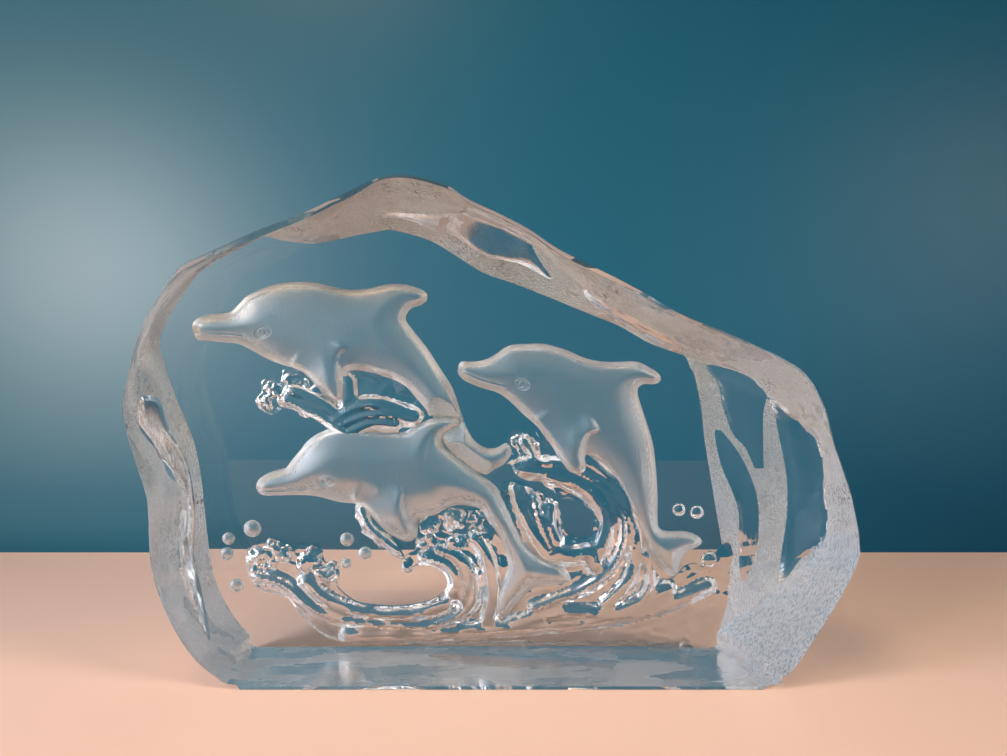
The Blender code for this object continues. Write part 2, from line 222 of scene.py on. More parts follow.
def ringPiece(name, rings, finish, closed=False):
    # Faces from ring to ring; the last ring meets the first, or both ends are capped.
    bm = bmesh.new()
    loops = [[bm.verts.new(point - drawingShift) for point in ring] for ring in rings]
    count = len(loops[0])
    for near, far in zip(loops, loops[1:] + loops[:1] if closed else loops[1:]):
        for k in range(count):
            bm.faces.new((near[k], near[(k + 1) % count], far[(k + 1) % count], far[k]))
    if not closed:
        bm.faces.new(loops[0])
        bm.faces.new(loops[-1])
    return madeObject(name, bm, finish)


def shownAt(points):
    # Where points (mm) show in the drawing, seen through the front.
    shrink = 1 / (1 + shrinkPerMm * (points[:, 1] + block["frontDepth"]))
    return axis[0] + (points[:, 0] - axis[0]) * shrink, axis[1] + (points[:, 2] - axis[1]) * shrink


def hewnDepth(patch, points):
    # How far inside a patch each point (mm) lies, as it shows through the front; negative outside.
    xs, zs = shownAt(points)
    line = roundLine(patch["line"])
    away = distanceTo(line, True, xs, zs)
    return np.where(insideOf(line, xs, zs), away, -away)


def snapTo(rows, depths, held):
    # Moves the points nearest a patch's outline onto it, so that its edge is crisp.
    halfWay = 0.5001
    nearest = np.where(held, 0, halfWay)
    moved, level = rows.copy(), depths.copy()
    for way in (0, 1):
        for step in (1, -1):
            other, place = np.roll(depths, step, way), np.roll(rows, step, way)
            crossing = depths * other < 0
            if way == 0:
                crossing[0 if step == 1 else -1] = False
            share = np.where(crossing, depths / np.where(crossing, depths - other, 1), 1)
            better = crossing & (share < nearest)
            nearest = np.where(better, share, nearest)
            moved = np.where(better[:, :, None], rows + (place - rows) * share[:, :, None], moved)
            level = np.where(better, 0, level)
    return moved, level, held | (level == 0)


def wallRows():
    # The edge of the front face, and the wall from the front bevel over a ridge to the back edge.
    rim, ridge, back, inset = [], [], [], []
    for i, (fx, fz, rx, rz, depth, bx, bz) in enumerate(stations):
        extra = bevels.get(i, 0)
        rim.append((fx, block["arrisDepth"] + block["bevelSlope"] * extra - block["frontDepth"], fz))
        ridge.append((rx, depth - block["frontDepth"], rz))
        back.append((bx, block["backDepth"] - block["backLean"] * bz, bz))
        inset.append((block["arrisInset"] + extra, 0, 0))
    rim, ridge, back, inset = (np.array([p[:] for p in closedPath(line, block["along"] - 1)])
                               for line in (rim, ridge, back, inset))
    for line in (rim, ridge, back):
        line[:, 2] = np.maximum(line[:, 2], 0)
    inward = np.array((0, 0, block["heart"])) - rim
    inward[:, 1] = 0
    inward /= np.linalg.norm(inward, axis=1)[:, None]
    front = rim + inward * inset[:, :1]
    front[:, 1] = -block["frontDepth"]
    front[:, 2] = np.where(rim[:, 2] < block["groundTouch"], 0, front[:, 2])
    rows = [rim + (ridge - rim) * t for t in np.linspace(0, 1, block["frontRows"] + 1)[:-1]]
    rows += [ridge + (back - ridge) * t for t in np.linspace(0, 1, block["backRows"] + 1)]
    rows = np.array(rows)
    for _ in range(block["rounding"]):
        rows[1:-1] = 0.25 * rows[:-2] + 0.5 * rows[1:-1] + 0.25 * rows[2:]
    return front, rows, inward


def outwardOf(rows, inward):
    # The direction out of the wall at each of its points.
    along = np.roll(rows, -1, 1) - np.roll(rows, 1, 1)
    down = np.zeros(rows.shape)
    down[1:-1] = rows[2:] - rows[:-2]
    out = np.cross(along, down)
    out /= np.maximum(np.linalg.norm(out, axis=2), 1e-9)[:, :, None]
    nearFront = out[3]      # a row that shows which way is out
    return -out if (nearFront * -inward).sum() < 0 else out


def wallRise(rows, levels):
    # How far each point moves out: lumps all over, calmer in the windows, and patches sunk in.
    flat = rows.reshape(-1, 3)
    rise = np.zeros(len(flat))
    for amount, size in block["lumps"]:
        rise += amount * np.array([noise.noise(Vector(p) / size) for p in flat])
    rise = rise.reshape(rows.shape[:2])
    for patch, level in zip(hewn, levels):
        if patch["finish"] == "window":
            rise *= 1 - block["windowCalm"] * easeIn(level / block["windowReach"])
        rise -= patch["sink"] * np.sqrt(np.clip(level / patch.get("fall", block["fall"]), 0, 1))
    rise[0] = 0
    rise[-1] = 0
    rise[rows[:, :, 2] < block["groundReach"]] = 0
    return rise


def layFace(bm, verts, corners, slot, levels):
    # A face of the wall in its finish, split in two where a patch's outline crosses it.
    crossed = None
    for patch, level in zip(hewn, levels):
        values = [level[j - 1, m] if j else -1 for j, m in corners]
        if max(values) > 0 and min(values) >= 0:
            slot = slotOf[patch["finish"]]
        elif max(values) > 0 > min(values):
            crossed = (patch, values)
    if crossed is None:
        face = bm.faces.new([verts[j][m] for j, m in corners])
        face.material_index = slot
        return
    patch, values = crossed
    turn = 0 if values[0] == 0 and values[2] == 0 else 1
    ring = corners[turn:] + corners[:turn]
    values = values[turn:] + values[:turn]
    for part in ((0, 1, 2), (0, 2, 3)):
        face = bm.faces.new([verts[ring[p][0]][ring[p][1]] for p in part])
        inside = max(values[p] for p in part) > 0
        face.material_index = slotOf[patch["finish"]] if inside else slot


def blockPiece(name):
    front, rows, inward = wallRows()
    held = np.zeros(rows.shape[:2], bool)
    held[0] = held[-1] = True
    held |= rows[:, :, 2] < block["groundReach"]
    levels = []
    for patch in hewn:
        depths = hewnDepth(patch, rows.reshape(-1, 3)).reshape(rows.shape[:2])
        rows, level, held = snapTo(rows, depths, held)
        levels.append(level)
    rows += outwardOf(rows, inward) * wallRise(rows, levels)[:, :, None]
    grid = np.concatenate((front[None], rows))
    count = grid.shape[1]
    bm = bmesh.new()
    verts = [[bm.verts.new(Vector(p) * mm - drawingShift) for p in ring] for ring in grid]
    for i in range(len(grid) - 1):
        for k in range(count):
            corners = [(i, k), (i, (k + 1) % count), (i + 1, (k + 1) % count), (i + 1, k)]
            slot = slotOf["hewn" if i else "polished"]
            if i and max(grid[j, m, 2] for j, m in corners) < block["groundReach"]:
                slot = slotOf["ground"]
            layFace(bm, verts, corners, slot, levels)
    bm.faces.new(verts[0])
    bm.faces.new(verts[-1])
    return madeObject(name, bm)


crystal = blockPiece("crystal")
print("block built", flush=True)

# The forms of the hollows reach a margin past their outlines, and a trim goes through them, in mm.
cutting = dict(margin=1, through=30, cordSides=8)


def applyCut(piece, tool, operation):
    cut = piece.modifiers.new("cut", "BOOLEAN")
    cut.operation = operation
    cut.object = tool
    cut.solver = "MANIFOLD"
    bpy.context.view_layer.objects.active = piece
    bpy.ops.object.modifier_apply(modifier="cut")
    bpy.data.objects.remove(tool, do_unlink=True)


def trim(piece, line, operation, finish):
    rings = [[seat(x, z, depth) for x, z in line] for depth in (-block["behind"], cutting["through"])]
    applyCut(piece, ringPiece("trimTool", rings, finish), operation)


def fieldPiece(name, line, gap, step, height, finish):
    # A form whose outline is line and whose front follows height(xs, zs), in mm.
    margin = cutting["margin"]
    lowX, highX = min(p[0] for p in line) - margin, max(p[0] for p in line) + margin
    lowZ, highZ = min(p[1] for p in line) - margin, max(p[1] for p in line) + margin
    xs, zs = np.meshgrid(np.arange(lowX, highX, step), np.arange(lowZ, highZ, step), indexing="ij")
    depths = height(xs, zs)
    across, up = xs.shape
    rim = ([(i, 0) for i in range(across)] + [(across - 1, j) for j in range(1, up)]
           + [(i, up - 1) for i in range(across - 2, -1, -1)] + [(0, j) for j in range(up - 2, 0, -1)])
    bm = bmesh.new()
    verts = [bm.verts.new(seat(x, z, depth) - drawingShift)
             for x, z, depth in zip(xs.ravel(), zs.ravel(), depths.ravel())]
    for i in range(across - 1):
        for j in range(up - 1):
            k = i * up + j
            bm.faces.new((verts[k], verts[k + up], verts[k + up + 1], verts[k + 1]))
    backs = [bm.verts.new(seat(xs[i, j], zs[i, j], -block["behind"] - margin) - drawingShift)
             for i, j in rim]
    for k in range(len(rim)):
        (i, j), (m, n) = rim[k], rim[(k + 1) % len(rim)]
        bm.faces.new((verts[m * up + n], verts[i * up + j], backs[k], backs[(k + 1) % len(rim)]))
    bm.faces.new(backs)
    piece = madeObject(name, bm, finish)
    trim(piece, line, "INTERSECT", finish)
    if gap:
        trim(piece, gap, "DIFFERENCE", finish)
    return piece


def cordPiece(name, line, radius, closed, finish):
    # A thin round cord through places x, z, depth, to score a line into a form.
    rings = []
    last = len(line) - 1
    turns = [2 * pi * k / cutting["cordSides"] for k in range(cutting["cordSides"])]
    for i, (x, z, depth) in enumerate(line):
        if closed:
            ahead, behind = line[(i + 1) % len(line)], line[i - 1]
        else:
            ahead, behind = line[min(i + 1, last)], line[max(i - 1, 0)]
        run = Vector((ahead[0] - behind[0], ahead[1] - behind[1])).normalized()
        rings.append([seat(x - run.y * cos(a) * radius, z + run.x * cos(a) * radius,
                           depth + sin(a) * radius) for a in turns])
    return ringPiece(name, rings, finish, closed)


# Dolphins: outline from the beak over the back, outline and root of the flipper, eye and mouth.
dolphins = (
    dict(
        line=((-83.5, 93.5), (-81.5, 95.5), (-78, 96.5), (-73, 97), (-70.5, 99), (-68, 101.5), (-64, 103.5),
              (-59.5, 105), (-55, 105.5), (-49.5, 105.5), (-44.5, 104.5), (-39.5, 103.5), (-36, 103.5),
              (-32, 104), (-28, 105), (-23.5, 105), (-19.5, 104), (-17, 102.5), (-17, 100.5), (-19, 99),
              (-21, 98.5), (-22.5, 97), (-23, 95), (-21, 92), (-17, 87), (-13.5, 81.5), (-9.5, 75),
              (-6.5, 66), (-4, 61), (-1, 58.5), (2.5, 58), (6, 59.5), (7.5, 57), (6, 54), (2.5, 52),
              (-0.5, 50.5), (-6, 53), (-10, 57), (-13.5, 61.5), (-16, 66), (-17, 68.5), (-20, 72.5),
              (-23, 75.5), (-27, 78), (-30.5, 79), (-34.5, 80), (-39.5, 80), (-39.5, 76.5), (-40, 72.5),
              (-41.5, 71), (-44, 71.5), (-47, 74), (-49.5, 77), (-52, 79.5), (-54.5, 81), (-58, 82),
              (-62, 83.5), (-66.5, 86), (-70.5, 88), (-75, 88.5), (-80.5, 89), (-82.5, 89.5)),
        flipper=((-56, 82), (-52, 79.5), (-49.5, 77), (-47, 74), (-44, 71.5), (-41.5, 71), (-40.6, 73),
                 (-40.8, 79), (-41.5, 84), (-39, 87), (-42, 89), (-50, 88)),
        root=(-48, 88), under=1, eye=(-62.5, 91), eyeLean=12,
        mouth=((-83.5, 90.7), (-77.5, 90.9), (-72.5, 90.8), (-68.5, 90.3)),
    ),
    dict(
        line=((-66, 48), (-65, 49.5), (-62.5, 51), (-59.5, 52), (-57.5, 52.5), (-56, 54.5), (-53.5, 57.5),
              (-51, 60.5), (-47, 63), (-43, 64), (-38.5, 64), (-34.5, 63.5), (-30, 63), (-24, 63),
              (-21, 64.5), (-17, 66.5), (-12.5, 67), (-8.5, 66.5), (-8, 65), (-10.5, 63.5), (-12.5, 61.5),
              (-12, 58.5), (-8.5, 55.5), (-4, 52), (0.5, 49), (3.5, 46), (5, 43), (7.5, 38), (10.5, 32),
              (14, 28), (18, 25.5), (22, 24), (24.5, 21), (25, 19.5), (22, 18.5), (17, 17.5), (13.5, 17),
              (10, 14), (6.5, 10), (3.5, 9), (2.5, 12), (3, 16.5), (5.5, 22), (6, 25.5), (4.5, 30),
              (3, 33.5), (0, 37), (-2, 40.5), (-7, 41.5), (-10.5, 41), (-13.5, 39), (-16.5, 38),
              (-19.5, 37.5), (-19.5, 35), (-20, 32.5), (-22, 31), (-25, 31.5), (-29, 34), (-33, 38),
              (-35.5, 41), (-37.5, 42), (-42.5, 42.5), (-48, 44), (-52, 44.5), (-59.5, 44.5), (-64, 44.5),
              (-66, 46)),
        flipper=((-39, 43), (-35.5, 41), (-33, 38), (-29, 34), (-25, 31.5), (-22, 31), (-20, 32.5),
                 (-20.5, 35.5), (-22.5, 39.5), (-23.5, 43), (-23.5, 47), (-29.5, 50), (-36, 48)),
        root=(-31, 49), under=None, eye=(-45.5, 49), eyeLean=-5,
        mouth=((-66, 46.2), (-59.5, 45.9), (-54, 46.4), (-51.5, 46.5)),
    ),
    dict(
        line=((-8, 81.5), (-7, 83), (-4, 83), (-0.5, 83.5), (2.5, 85), (6.5, 87.5), (11, 88), (17, 88),
              (22.5, 86.5), (28.5, 84), (33.5, 83), (38, 83), (43, 83), (46.5, 81.5), (49.5, 79.5),
              (50, 77.5), (48, 76.5), (45, 76.5), (43.5, 75), (44, 72), (46, 66), (48, 59.5), (49, 51.5),
              (49.5, 44), (49.5, 38), (50, 35), (52.5, 34), (57, 34), (60.5, 33), (62.5, 31), (61, 29.5),
              (58, 28), (56.5, 25.5), (55.5, 22), (54, 21), (51.5, 22), (48.5, 25.5), (46, 29), (44, 34),
              (41.5, 39), (39, 44), (36.5, 49), (33.5, 52.5), (29.5, 55.5), (29.5, 53.5), (28.5, 51),
              (26.5, 50), (23.5, 51), (21.5, 53.5), (19.5, 57.5), (17, 61), (14.5, 64.5), (10.5, 68),
              (7.5, 71), (3.5, 74), (-1.5, 75.5), (-6, 77.5), (-8, 79.5)),
        flipper=((13, 66), (17, 61), (19.5, 57.5), (21.5, 53.5), (23.5, 51), (26.5, 50), (28.5, 51), (29, 53),
                 (28, 57.5), (29, 62), (32, 63.5), (29, 68), (20, 70.5)),
        root=(23, 69), under=None, eye=(10, 76.5), eyeLean=-22,
        mouth=((-8, 80.8), (-3, 78.6), (1, 77.2), (5.5, 76.2)),
    ),
)

# Form of a dolphin, in mm: an eye ring is its half width, its half height and its cord's radius.
dolphinForm = dict(
    step=0.42, rimRise=2.6, rimReach=1.8, bodyRise=4.6, bodyReach=9.0, easeShare=0.45, roundShare=0.55,
    softening=4, flipperRise=2.2, flipperEdge=1.2, flipperSoftening=2, rootClear=3, rootFade=9,
    underStart=0.8, underSlope=0.8, shallowest=0.3, mouthRadius=0.42, mouthSteps=7,
    eyeSides=28, eyeRings=((2.2, 1.35, 0.4), (0.85, 0.8, 0.3)),
)


def bodyHeight(dolphin, xs, zs):
    # Depth of a dolphin: a steep rim, a broad rounded body and a raised flipper.
    form = dolphinForm
    line = roundLine(dolphin["line"])
    inward = np.where(insideOf(line, xs, zs), distanceTo(line, True, xs, zs), 0)
    rim = form["rimRise"] * np.sqrt(1 - (1 - np.clip(inward / form["rimReach"], 0, 1)) ** 2)
    swell = np.clip(inward / form["bodyReach"], 0, 1)
    crown = form["easeShare"] * easeIn(swell) + form["roundShare"] * np.sqrt(1 - (1 - swell) ** 2)
    depth = rim + form["bodyRise"] * crown
    flipper = roundLine(dolphin["flipper"])
    inner = np.where(insideOf(flipper, xs, zs), distanceTo(flipper, True, xs, zs), 0)
    rootX, rootZ = dolphin["root"]
    clear = easeIn((np.hypot(xs - rootX, zs - rootZ) - form["rootClear"]) / form["rootFade"])
    raised = form["flipperRise"] * np.clip(inner / form["flipperEdge"], 0, 1) * clear
    depth = softened(depth, form["softening"]) + softened(raised, form["flipperSoftening"])
    if dolphin["under"] is not None:
        over = roundLine(dolphins[dolphin["under"]]["line"])
        depth = np.minimum(depth, form["underStart"] + form["underSlope"] * distanceTo(over, True, xs, zs))
    return np.maximum(depth, form["shallowest"])


def dolphinPiece(name, dolphin):
    # The body with its eye and mouth scored into it.
    form = dolphinForm
    satin = slotOf["satin"]
    body = fieldPiece(name, roundLine(dolphin["line"]), None, form["step"],
                      lambda xs, zs: bodyHeight(dolphin, xs, zs), satin)

    def scored(line):
        # Each place of a line with the body's depth there, taken from a small grid around it.
        around = 2
        reach = np.arange(-around, around + 1) * form["step"]
        places = []
        for x, z in line:
            depths = bodyHeight(dolphin, *np.meshgrid(x + reach, z + reach, indexing="ij"))
            places.append((x, z, depths[around, around]))
        return places

    mouth = scored([(p.x, p.y) for p in smoothPath(dolphin["mouth"], form["mouthSteps"])])
    applyCut(body, cordPiece("mouth", mouth, form["mouthRadius"], False, satin), "DIFFERENCE")
    eyeX, eyeZ = dolphin["eye"]
    lean = radians(dolphin["eyeLean"])
    for wide, high, thick in form["eyeRings"]:
        lid = []
        for k in range(form["eyeSides"]):
            a = 2 * pi * k / form["eyeSides"]
            dx, dz = wide * cos(a), high * sin(a)
            lid.append((eyeX + dx * cos(lean) - dz * sin(lean), eyeZ + dx * sin(lean) + dz * cos(lean)))
        applyCut(body, cordPiece("lid", scored(lid), thick, True, satin), "DIFFERENCE")
    return body


forms = [dolphinPiece(f"dolphin{i}", dolphin) for i, dolphin in enumerate(dolphins)]
print("dolphins made", flush=True)

# Water: outline of each body of water, then its level and the folds that run through it.
waters = (
    dict(
        name="sea", level=1.7,
        line=((-69.3, 26.1), (-68.4, 28.7), (-66.1, 30.5), (-62.6, 31.1), (-58.6, 30.5), (-56.3, 28.7),
              (-54, 29.9), (-50.5, 29.3), (-47.7, 27.5), (-46.8, 25.1), (-44.5, 24.6), (-42.8, 22.5),
              (-42.5, 20.2), (-43.2, 18.1), (-41.1, 15.7), (-37.6, 13.4), (-33.3, 12.5), (-28, 12.1),
              (-22.2, 12.4), (-17, 13.6), (-13.2, 15.6), (-11.4, 18), (-11.4, 20.4), (-12.6, 22.4),
              (-14.4, 23.6), (-17, 24.2), (-19.6, 24.2), (-21.9, 23.3), (-23.7, 23.6), (-24, 25.9),
              (-22.5, 27.4), (-20.5, 28.9), (-20.1, 34.7), (-18.6, 37.4), (-15.1, 39.1), (-11.4, 40.3),
              (-7.7, 40.3), (-3.3, 39.7), (0.5, 38), (4.6, 31.2), (6.3, 37.1), (4, 44.4), (4.6, 47),
              (3.5, 51.6), (2.5, 54), (5.4, 56), (6.3, 60.4), (6.6, 62.1), (8.1, 63.6), (9.8, 63.3),
              (11, 62.1), (12.6, 62.7), (14.1, 63), (17, 60.4), (30.1, 56), (38.7, 48.7), (44.6, 38.5),
              (46.9, 26.6), (51.1, 20.2), (54.5, 20.8), (57.4, 23.7), (60.3, 24.6), (62.7, 23.7),
              (65.5, 26.7), (70.6, 29.9), (72.4, 2.1), (44.8, 1.1), (4, 1), (-25.2, 1), (-42.7, 2),
              (-49, 5), (-53.6, 9.9), (-57.6, 14.7), (-62, 16.1), (-66.2, 17.7), (-68.5, 21.2)),
        gap=((2.2, 51.6), (3.1, 53.1), (6.9, 53.5), (7.9, 51.6), (9.2, 50.2), (12.1, 48.7),
             (15.6, 48.4), (17.1, 47), (19.3, 45.8), (21.3, 43.5), (24.1, 43.5), (28, 42), (30.7, 39.1),
             (31.4, 36.8), (30.9, 34.7), (30.8, 33), (29, 31.8), (26.1, 32), (23.8, 32.9), (22.3, 34.7),
             (21.3, 38.2), (20.9, 40.1), (20.6, 42.6), (18.4, 43), (16.5, 44.9), (14.5, 45.7),
             (12.1, 47), (9.8, 47.6), (7.3, 48.4), (4.4, 48.1), (3, 49.9)),
        folds=(
            ((-65.8, 21.2), (-57.9, 18.6), (-48, 10.5), (-34, 7.4), (-16, 6.8), (-6, 10.9), (-3, 16.9),
             (-5, 24), (-10, 28)),
            ((-51.9, 19.6), (-45, 13.5), (-35, 10.4), (-22, 9.9), (-12, 12.4)),
            ((-9, 15.9), (-8.8, 20), (-11.5, 24.5), (-17, 26.5)),
            ((-6.5, 13.9), (-5.8, 20), (-8.5, 26), (-14, 29)),
            ((0.5, 7.8), (2, 15.9), (0.5, 26), (-3, 32.1)),
            ((9.5, 46.6), (11, 40.1), (14, 33.1), (17.5, 28)),
            ((14, 44.1), (15.5, 38.1), (17.5, 32.1), (19.5, 28)),
            ((18.5, 41.1), (18.5, 36.1), (20, 31.1)),
            ((9, 52.1), (16.9, 51.1), (25.9, 48.1), (32.9, 42.6), (35.4, 36.1), (33.5, 29.1)),
            ((11, 54.1), (19.9, 53.6), (29.9, 49.6), (36.9, 43.1), (39.4, 35.1), (38, 27.1), (33, 20.5),
             (24, 15.4), (14, 11.9)),
            ((28.9, 55.1), (34.9, 50.1), (39.4, 44.1), (42.4, 36.1), (43.4, 28.1), (41.5, 20),
             (35, 12.9)),
            ((19.5, 27.5), (25, 27), (30, 27.5), (31.5, 24)),
            ((46.9, 27.1), (47.5, 19), (43, 10.9)),
            ((-40.1, 3.9), (-20.1, 4.3), (5, 5.8), (30, 7.9), (50, 12), (63.9, 18.1)),
            ((8, 6.8), (24, 10.4), (38, 9.9), (52, 17)),
            ((11, 60.1), (13.5, 56.1), (12, 53.1)),
        ),
    ),
    dict(
        name="pool", level=1.5,
        line=((-64.3, 77.1), (-62, 78.3), (-58.3, 78.3), (-58, 80.6), (-53.4, 80.6), (-39.1, 81.2),
              (-26.2, 79.5), (-17.6, 70.5), (-15.6, 66.2), (-23.5, 60.4), (-39.4, 59.8), (-43.9, 63),
              (-48.5, 66.2), (-50.1, 67.1), (-52.7, 66.8), (-54.1, 68.8), (-57.9, 69.7), (-60.2, 67.9),
              (-62.7, 68.2), (-65.2, 70), (-65.5, 72.6), (-64.1, 74.3)),
        gap=(),
        folds=(
            ((-57.2, 72.1), (-49.4, 68.6), (-42.6, 64.1), (-38.6, 61.6)),
            ((-55.2, 74.5), (-47.4, 71.1), (-41.6, 66.1)),
            ((-43.5, 66.1), (-37.6, 69.7), (-30.7, 70.3), (-20.8, 67.3)),
            ((-42.6, 64.1), (-35.6, 67.1), (-28.7, 67.9), (-22.8, 66.5)),
            ((-39.6, 62.6), (-33.7, 65.1), (-26.7, 65.1)),
            ((-40, 77), (-39.5, 72.1)),
        ),
    ),
    dict(
        name="throat", level=1.6,
        line=((-37.4, 42.1), (-33.2, 41.4), (-23.7, 26.5), (-26.3, 26.9), (-29.1, 29.2), (-32.3, 31.3),
              (-34.9, 33), (-36.4, 35.9), (-37.4, 38.8)),
        gap=(),
        folds=(((-35.8, 40.1), (-33.4, 35.1), (-28.9, 31.1), (-25, 28.1)),),
    ),
)

# Form of the water, in mm: swells are rise, scale and seed, and the folds take foldKinds widths
# in turn.
waterForm = dict(
    step=0.56, shallowest=0.4, swells=((0.9, 0.2, 3.0), (0.4, 0.55, 8.0)),
    foldSteps=4, foldReach=1.9, foldSpread=0.5, foldKinds=3, foldSink=0.6, foldRise=3.2,
    ribPitch=1.9, ribRise=0.35, ribFade=6, ribDrift=3, driftScale=0.12, driftSeed=5.0,
)


def waterPiece(water, finish):
    # One body of water: a rippled level with round folds and fine ribs along them.
    form = waterForm
    level = water["level"]
    folds = [[(p.x, p.y) for p in smoothPath(fold, form["foldSteps"])] for fold in water["folds"]]

    def height(xs, zs):
        depth = level
        for rise, scale, seed in form["swells"]:
            depth = depth + rise * ripples(xs, zs, scale, seed)
        nearest = np.full(xs.shape, 1e9)
        for i, fold in enumerate(folds):
            reach = form["foldReach"] + form["foldSpread"] * (i % form["foldKinds"])
            away = distanceTo(fold, False, xs, zs)
            near = np.clip(1 - away / reach, 0, 1)
            depth = np.maximum(depth, level - form["foldSink"]
                               + form["foldRise"] * np.sqrt(1 - (1 - near) ** 2))
            nearest = np.minimum(nearest, away)
        drift = form["ribDrift"] * ripples(xs, zs, form["driftScale"], form["driftSeed"])
        ribs = np.cos(2 * pi * nearest / form["ribPitch"] + drift) * np.exp(-(nearest / form["ribFade"]) ** 2)
        return softened(np.maximum(depth + form["ribRise"] * ribs, form["shallowest"]), 1)

    gap = roundLine(water["gap"]) if water["gap"] else None
    return fieldPiece("water" + water["name"], roundLine(water["line"]), gap, form["step"], height, finish)


forms += [waterPiece(water, slotOf["water"]) for water in waters]
print("water made", flush=True)

# Lumps of foam: x, z and radius.
foam = (
    (-65.7, 27.2, 3.4), (-61.7, 28.8, 3), (-58.4, 27.2, 3), (-66.2, 22.8, 2.6), (-62.4, 24.6, 2.6),
    (-51.4, 25.5, 3.9), (-46.5, 21.5, 3.9),
    (-55.8, 77.4, 2.8), (-60.7, 75.2, 2.7), (-62.9, 71.5, 2.7), (-56.1, 72.7, 2.6), (-51.8, 69.1, 2.2),
    (-49, 74.1, 2.4), (-51.9, 77, 2.2), (-35.5, 38.3, 2.3), (-33.7, 34.5, 2.3), (-30.3, 31.3, 2.1),
    (-26.6, 28.5, 1.7),
    (-16.7, 35.6, 3.4), (-9.5, 37.7, 3.6), (-2.8, 37.3, 3.2), (-16.6, 30.6, 3.4), (-8.6, 30.6, 3.5),
    (-1.6, 31.6, 3.2),
    (6.2, 45.7, 1.7), (9, 46.1, 1.8), (12, 45, 1.8), (14.6, 43.6, 2), (17.4, 41.7, 2.1), (19.6, 39.3, 1.9),
    (20.2, 36.1, 1.8), (20.8, 32.9, 1.8), (9, 60.1, 2.6), (13.2, 59.8, 2.4), (10.4, 56.7, 2.3),
)

bubbles = (
    (-67.6, 34.8, 2.5), (-74.5, 31.9, 1.8), (-75, 27.5, 1.9), (-72.3, 18.2, 2), (-40.4, 31.5, 2),
    (-35.2, 27.5, 1.9), (-40.7, 24.5, 1.5), (-22.8, 23.4, 1.8), (55.8, 40.2, 1.9), (61, 39.5, 2),
    (64.8, 25.5, 2.6),
)

# Foam and bubbles: depth is a share of the radius, and grain sets the size of foam's lumps.
roundForm = dict(foamDepth=1.1, foamUneven=0.45, bubbleDepth=0.9, sides=24, rows=8, grain=1.6)


def roundPiece(name, place, share, uneven, finish):
    # A dome on a stem; uneven shares of its radius make it lumpy.
    x, z, radius = place
    sides, rows, grain = roundForm["sides"], roundForm["rows"], roundForm["grain"]
    around = [(cos(2 * pi * k / sides), sin(2 * pi * k / sides)) for k in range(sides)]
    lifts = [0.5 * pi * (row + 0.5) / rows for row in range(rows)]
    levels = [(1, 0, -block["behind"])]
    levels += [(cos(lift), sin(lift), radius * share * sin(lift)) for lift in lifts]
    rings = []
    for reach, lift, depth in levels:
        ring = []
        for c, s in around:
            lump = noise.noise(Vector((x + grain * c * reach, z + grain * s * reach, grain * lift)))
            k = 1 + uneven * lump
            ring.append(seat(x + radius * reach * k * c, z + radius * reach * k * s,
                             depth * k if depth > 0 else depth))
        rings.append(ring)
    return ringPiece(name, rings, finish)


def cutAway(piece, forms):
    # Cuts all the forms out of the block at once.
    group = bpy.data.collections.new("cutForms")
    scene.collection.children.link(group)
    for form in forms:
        scene.collection.objects.unlink(form)
        group.objects.link(form)
    cut = piece.modifiers.new("cut", "BOOLEAN")
    cut.operation = "DIFFERENCE"
    cut.operand_type = "COLLECTION"
    cut.collection = group
    cut.solver = "MANIFOLD"
    bpy.context.view_layer.objects.active = piece
    bpy.ops.object.modifier_apply(modifier="cut")
    for form in forms:
        bpy.data.objects.remove(form, do_unlink=True)
    bpy.data.collections.remove(group)


forms += [roundPiece(f"foam{i}", lump, roundForm["foamDepth"], roundForm["foamUneven"], slotOf["water"])
          for i, lump in enumerate(foam)]
for i, bubble in enumerate(bubbles):
    finish = slotOf["satin" if bubble[0] < 0 else "water"]      # the bubbles at the left are satin
    forms.append(roundPiece(f"bubble{i}", bubble, roundForm["bubbleDepth"], 0, finish))
cutAway(crystal, forms)
crystal.data.calc_loop_triangles()
print("relief cut,", len(crystal.data.loop_triangles), "triangles", flush=True)

# Marks that the finishes read: nearness to a dolphin's rim, where the satin gets a painted warm reflection,
# and dirt in the rough walls.
marks = dict(farFromRim=9.0, rimStart=0.6, rimFade=1.6, dirtFull=1.3)


def markPoints(piece, name, values):
    layer = piece.data.attributes.new(name, "FLOAT", "POINT")
    layer.data.foreach_set("value", values)


places = np.zeros(len(crystal.data.vertices) * 3)
crystal.data.vertices.foreach_get("co", places)
places = places.reshape(-1, 3) / mm + np.array((drawingMiddle, 0, 0))
showX, showZ = shownAt(places)
edge = np.full(len(places), marks["farFromRim"])
for dolphin in dolphins:
    edge = np.minimum(edge, distanceTo(roundLine(dolphin["line"]), True, places[:, 0], places[:, 2]))
grime = np.zeros(len(places))
for x, z, reach in dirt:
    grime = np.maximum(grime, np.clip(marks["dirtFull"] - np.hypot(showX - x, showZ - z) / reach, 0, 1))
# The rim mark places the satin's painted warm reflection along each dolphin's outline.
markPoints(crystal, "rim", np.clip(1 - (edge - marks["rimStart"]) / marks["rimFade"], 0, 1))
markPoints(crystal, "dirt", grime)
print("finishes", [item.name for item in crystal.data.materials],
      np.bincount([face.material_index for face in crystal.data.polygons]), flush=True)


def addNode(tree, kind, links=(), **values):
    node = tree.nodes.new(kind)
    for key, value in values.items():
        if key in node.inputs:
            node.inputs[key].default_value = value
        else:
            setattr(node, key, value)
    for socket, source in links:
        tree.links.new(source, node.inputs[socket])
    return node


def noiseOn(tree, place, scale, detail=3.0):
    return addNode(tree, "ShaderNodeTexNoise", (("Vector", place),), Scale=scale, Detail=detail).outputs["Fac"]


def attributeOn(tree, name):
    return addNode(tree, "ShaderNodeAttribute", attribute_name=name).outputs["Fac"]


def ranged(tree, value, low, high, first, last):
    return addNode(tree, "ShaderNodeMapRange", (("Value", value),), **{
        "From Min": low, "From Max": high, "To Min": first, "To Max": last}).outputs["Result"]


